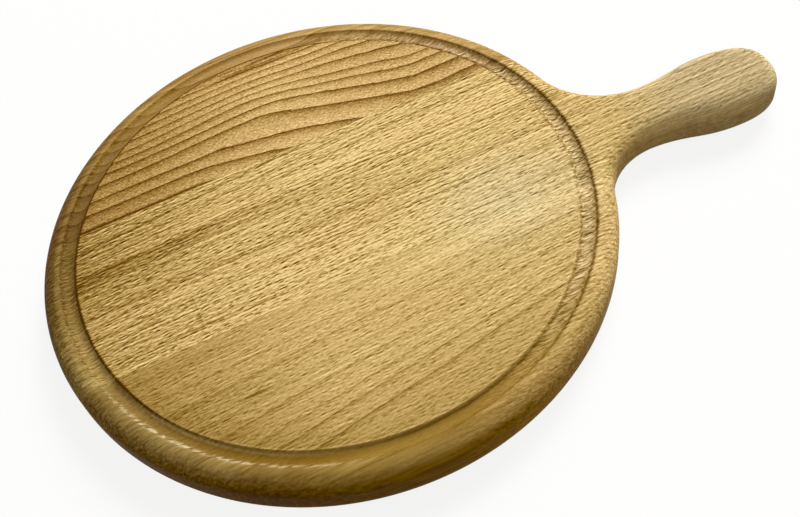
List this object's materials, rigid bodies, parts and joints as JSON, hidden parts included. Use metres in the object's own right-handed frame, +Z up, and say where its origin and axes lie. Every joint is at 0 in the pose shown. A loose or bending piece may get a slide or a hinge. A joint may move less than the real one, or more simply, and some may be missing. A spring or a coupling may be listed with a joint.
{
  "type": "serving board",
  "caption": "Round wooden serving board with a flared handle, a juice groove near the rim and a fully rounded edge, glued up from beech staves.",
  "frame": {"origin": "centre of the disc on the flat underside", "axes": "+Z up out of the serving face, +X along the handle towards its tip"},
  "size_m": [0.34, 0.25, 0.022],
  "materials": {
    "back_stave_beech": "oiled satin",
    "middle_stave_beech": "oiled satin",
    "front_stave_beech": "oiled satin",
    "wood_glue": "cured, satin"
  },
  "bodies": {
    "root": {"back_stave": "back_stave_beech", "middle_stave": "middle_stave_beech", "front_stave": "front_stave_beech", "back_glue_line": "wood_glue", "front_glue_line": "wood_glue"}
  },
  "joints": []
}
